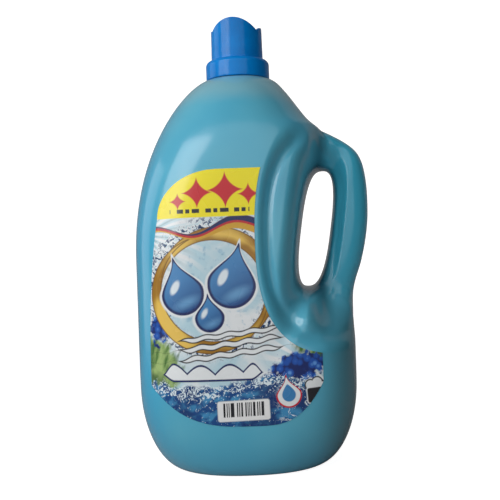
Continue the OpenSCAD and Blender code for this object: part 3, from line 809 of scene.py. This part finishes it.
def label_header(p, colour):
    """Yellow head of the label with sparkles, a dashed line and a wavy two-coloured ribbon under it."""
    middle = (p.x * 0.105 + 2.2).sine() * 4.2 + 188.0 + p.x * 0.06
    ribbon = abs(p.z - middle) - ((p.x * 0.0525 + 1.1).sine() * 2.0 + 3.6)
    colour = p.layer(colour, GOLD, ribbon.inside())
    colour = p.layer(colour, (196, 30, 42), ribbon.highest(middle - p.z - 0.8).inside())
    colour = p.layer(colour, NAVY, ribbon.highest(middle - p.z + 0.9).inside())
    head = -(p.z - 196.0 - p.x * 0.004)
    colour = p.layer(colour, YELLOW, head.inside())
    shapes = p.star(-33, 214, 12.0).lowest(p.star(-12, 215.5, 14.0)).lowest(p.star(5.0, 212.0, 8.5))
    shapes = shapes.lowest(p.star(-47.5, 208.0, 6.5))
    colour = p.layer(colour, RED, shapes.inside())
    dashes = (p.x * 0.9 + (p.x * 0.31).sine() * 1.6).sine()
    line = (abs(p.z - 200.6) - 1.5).highest(abs(p.x + 24.0) - 29.5)
    return p.layer(colour, INK, line.inside() * dashes.ramp(-0.55, -0.35))


def label_signs(p, colour):
    """White bands, a framed drop, a wash tub and a box of bars."""
    for height, half, swing, phase in ((110.5, 1.3, 0.7, 0.0), (103.6, 1.5, 0.8, 1.4), (96.2, 1.5, 0.8, 2.9)):
        band = p.wave(height, 0.11, swing, 17.0, phase, abs(p.x + 12.0).ramp(41.0, 28.0) * (half + 0.9) - 0.9)
        colour = outlined(p, colour, band, INK, WHITE, 0.9)
    hills = abs((p.x * 0.152 + 0.5).sine()) * 6.5 + (p.x * 0.06).sine() * 1.5
    ends = abs(p.x + 26.0).ramp(40.0, 28.0)
    crest = (p.z - 81.0 - hills * ends).highest(-(p.z - 80.0 + ends * 3.4)) + (-ends + 1.0) * 3.0
    colour = outlined(p, colour, crest, NAVY, WHITE, 1.5)
    sign = p.drop(29.5, 63.5, 8.4, 13.0, 8.0)
    colour = outlined(p, colour, sign, RED, WHITE, 1.2)
    colour = p.layer(colour, (60, 132, 190), (sign + 3.4).inside())
    tub = p.slab(49.5, 62.5, 6.2, 5.4, 4.0, 1.4)
    foam = p.disc(45.5, 70.0, 3.4).lowest(p.disc(50.5, 71.6, 3.6)).lowest(p.disc(54.5, 69.0, 2.8))
    colour = outlined(p, colour, foam, INK, WHITE, 0.9)
    colour = outlined(p, colour, tub, WHITE, INK, 0.8)
    box = p.slab(-4.0, 53.2, 19.0, 7.4, 1.5, 1.6)
    colour = outlined(p, colour, box, (180, 190, 196), (244, 244, 244), 0.4)
    bars = (p.x * 3.1 + (p.x * 0.83).sine() * 2.2 + (p.x * 0.29).sine() * 3.0).sine()
    field = p.slab(-4.0, 54.0, 15.6, 5.2, 1.5)
    return p.layer(colour, INK, field.inside() * bars.ramp(-0.1, 0.1))


def label_print():
    """The printed film: a made-up picture of drops, sparkles, waves and flowers under gloss."""
    p = Painter("printed_film")
    colour = label_sea(p, label_sky(p))
    for crescent in CRESCENTS:
        gold = p.crescent(*crescent)
        metal = p.layer((164, 116, 30), (240, 200, 92), (p.noise(0.03, 2.0) + gold * -0.04).ramp(0.4, 0.72))
        colour = p.layer(colour, (126, 88, 24), (gold - 0.7).inside())
        colour = p.layer(colour, metal, gold.inside())
    for drop in BIG_DROPS:
        colour = water_drop(p, colour, *drop)
    colour = label_signs(p, colour)
    colour = label_header(p, colour)
    p.base(colour)
    p.rough(p.noise(0.05, 2.0) * 0.1 + 0.22)
    p.bump(p.noise(0.05, 2.0) * 2.0 + p.noise(0.6, 2.0) * 0.06, 0.12, 0.0006)
    p.set(Coat_Weight=0.4, Coat_Roughness=0.1, IOR=1.5)
    return p.material


# Grey that the floor reflects, and the light that it adds for the camera alone
FLOOR_GREY, FLOOR_LIFT = 0.42, 0.95


def floor_white():
    """Pale floor and backdrop: white to the camera, with the object's shadow kept."""
    material = bpy.data.materials.new("studio_white")
    material.use_nodes = True
    tree = material.node_tree
    surface = tree.nodes["Principled BSDF"]
    surface.inputs["Base Color"].default_value = (FLOOR_GREY, FLOOR_GREY, FLOOR_GREY, 1)
    surface.inputs["Roughness"].default_value = 0.9
    surface.inputs["Specular IOR Level"].default_value = 0.0
    path = tree.nodes.new("ShaderNodeLightPath")
    amount = tree.nodes.new("ShaderNodeMath")
    amount.operation = "MULTIPLY"
    amount.inputs[1].default_value = FLOOR_LIFT
    tree.links.new(path.outputs["Is Camera Ray"], amount.inputs[0])
    surface.inputs["Emission Color"].default_value = (1, 1, 1, 1)
    tree.links.new(amount.outputs[0], surface.inputs["Emission Strength"])
    return material


bottle = build_bottle()
bottle.data.materials.append(blown_plastic())
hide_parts("bottle")
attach(bottle, "bottle_body")

cap = build_cap()
cap.data.materials.append(cap_plastic())
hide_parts("dosing_cap")
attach(cap, "cap_body")

label = build_label()
label.data.materials.append(label_print())
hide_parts("front_label")
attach(label, "bottle_body")

INNER = {
    "softener_fill": liquid_blue(),
    "pouring_insert": plain_plastic("natural_white_plastic", (232, 236, 238), (214, 222, 228), 0.3),
    "sealing_ring": plain_plastic("closed_cell_foam", (228, 228, 224), (206, 206, 200), 0.7),
}
for node, material in INNER.items():
    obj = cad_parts[node]
    obj.data.materials.clear()
    obj.data.materials.append(material)

# Studio: pale floor that turns up into the backdrop, soft lights and the camera
FLOOR_HALF, FLOOR_FRONT, FLOOR_BACK, FLOOR_RISE, SWEEP_R = 3.0, -3.0, 1.6, 3.0, 0.6
LIGHT_AIM = (0, 0, 0.17)


def build_floor():
    curve = [(FLOOR_FRONT, 0.0), (FLOOR_BACK - SWEEP_R, 0.0)]
    for a in np.radians(np.arange(7.5, 90, 7.5)):
        curve.append((FLOOR_BACK - SWEEP_R * (1 - math.sin(a)), SWEEP_R * (1 - math.cos(a))))
    curve += [(FLOOR_BACK, SWEEP_R), (FLOOR_BACK, FLOOR_RISE)]
    points = [(side * FLOOR_HALF / MM, y / MM, z / MM) for y, z in curve for side in (-1, 1)]
    faces = [(2 * i, 2 * i + 1, 2 * i + 3, 2 * i + 2) for i in range(len(curve) - 1)]
    floor = new_object("studio_floor", points, faces)
    floor.data.materials.append(floor_white())


def soft_light(name, place, size, power):
    light = bpy.data.lights.new(name, "AREA")
    light.shape = "RECTANGLE"
    light.size, light.size_y = size
    light.energy = power
    obj = bpy.data.objects.new(name, light)
    obj.location = place
    back = (obj.location - Vector(LIGHT_AIM)).normalized()
    obj.rotation_mode = "QUATERNION"
    obj.rotation_quaternion = back.to_track_quat("Z", "Y")
    bpy.context.scene.collection.objects.link(obj)


# Strength of the air's light from the right, from the left and from the bright window in front
AIR_RIGHT, AIR_LEFT, WINDOW = 0.03, 0.22, 0.75


def set_world():
    """Dim air, brighter on the left, a wide window in front, and white to the camera."""
    world = bpy.data.worlds.new("studio_air")
    bpy.context.scene.world = world
    world.use_nodes = True
    tree = world.node_tree
    dim = tree.nodes["Background"]
    dim.inputs["Color"].default_value = (1, 1, 1, 1)
    place = tree.nodes.new("ShaderNodeTexCoord")
    split = tree.nodes.new("ShaderNodeSeparateXYZ")
    tree.links.new(place.outputs["Generated"], split.inputs[0])
    x, y, z = (Value(tree, s) for s in split.outputs)
    window = (-y).ramp(0.3, 0.4) * z.ramp(0.84, 0.78) * x.ramp(-0.78, -0.70) * x.ramp(0.6, 0.5)
    strength = x.ramp(0.7, -0.8) * (AIR_LEFT - AIR_RIGHT) + AIR_RIGHT + window * WINDOW
    tree.links.new(strength.socket, dim.inputs["Strength"])
    white = tree.nodes.new("ShaderNodeBackground")
    white.inputs["Color"].default_value = (1, 1, 1, 1)
    path = tree.nodes.new("ShaderNodeLightPath")
    mixer = tree.nodes.new("ShaderNodeMixShader")
    tree.links.new(path.outputs["Is Camera Ray"], mixer.inputs[0])
    tree.links.new(dim.outputs[0], mixer.inputs[1])
    tree.links.new(white.outputs[0], mixer.inputs[2])
    tree.links.new(mixer.outputs[0], tree.nodes["World Output"].inputs["Surface"])


# The photograph's view: nearly level and almost straight at the front, with the bottle leaning left by the roll
CAMERA_PLACE = (0.0048, -0.720, 0.1639)
CAMERA_PITCH, CAMERA_ROLL = math.radians(0.586), math.radians(-2.1)
FOCAL_PX, IMAGE_PX, SENSOR = 880.0, 500.0, 36.0


def build_camera():
    data = bpy.data.cameras.new("photo_view")
    data.sensor_width = SENSOR
    data.lens = FOCAL_PX / IMAGE_PX * SENSOR
    data.clip_start, data.clip_end = 0.05, 20
    camera = bpy.data.objects.new("photo_view", data)
    level = Matrix.Rotation(math.pi / 2 + CAMERA_PITCH, 4, "X")
    camera.matrix_world = Matrix.Translation(CAMERA_PLACE) @ level @ Matrix.Rotation(CAMERA_ROLL, 4, "Z")
    bpy.context.scene.collection.objects.link(camera)
    bpy.context.scene.camera = camera


build_floor()
set_world()
soft_light("key_left", (-0.95, -0.75, 0.75), (0.9, 1.1), 9)
soft_light("side_left", (-1.1, 0.25, 0.35), (0.6, 0.9), 1.6)
build_camera()
bpy.context.scene.view_settings.view_transform = "Standard"
